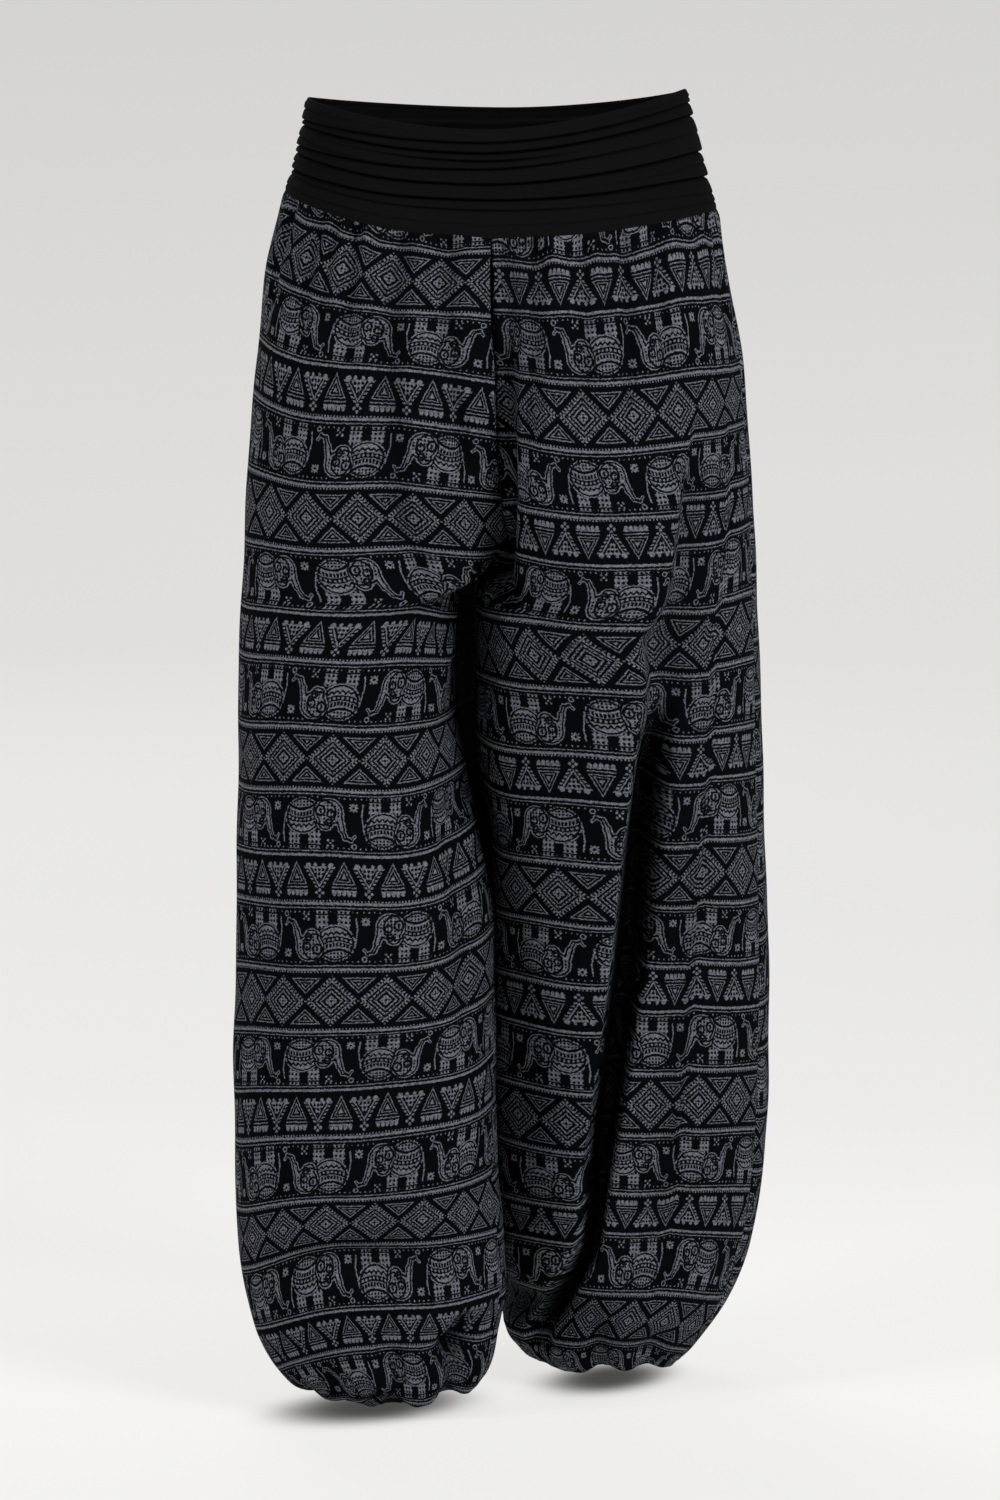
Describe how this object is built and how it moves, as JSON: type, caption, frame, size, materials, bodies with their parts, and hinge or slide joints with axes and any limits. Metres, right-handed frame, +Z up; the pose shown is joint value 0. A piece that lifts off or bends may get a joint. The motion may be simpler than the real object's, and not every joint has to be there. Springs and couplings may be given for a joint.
{
  "type": "harem pants",
  "caption": "Loose harem pants of printed cloth with a wide ruched jersey waistband and gathered ankle hems, hollow and filled out as worn.",
  "frame": {"origin": "middle of the waistband, level with the middle of its height, where the wearer's waist holds the garment", "axes": "+Z up, the front faces -Y, the wearer's left side is +X"},
  "size_m": [0.4062, 0.3065, 0.9971],
  "materials": {
    "black_jersey": "matt knit",
    "printed_cloth": "matt woven, printed"
  },
  "bodies": {
    "root": {"waistband": "black_jersey", "right_front": "printed_cloth", "left_front": "printed_cloth", "right_back": "printed_cloth", "left_back": "printed_cloth"}
  },
  "joints": []
}
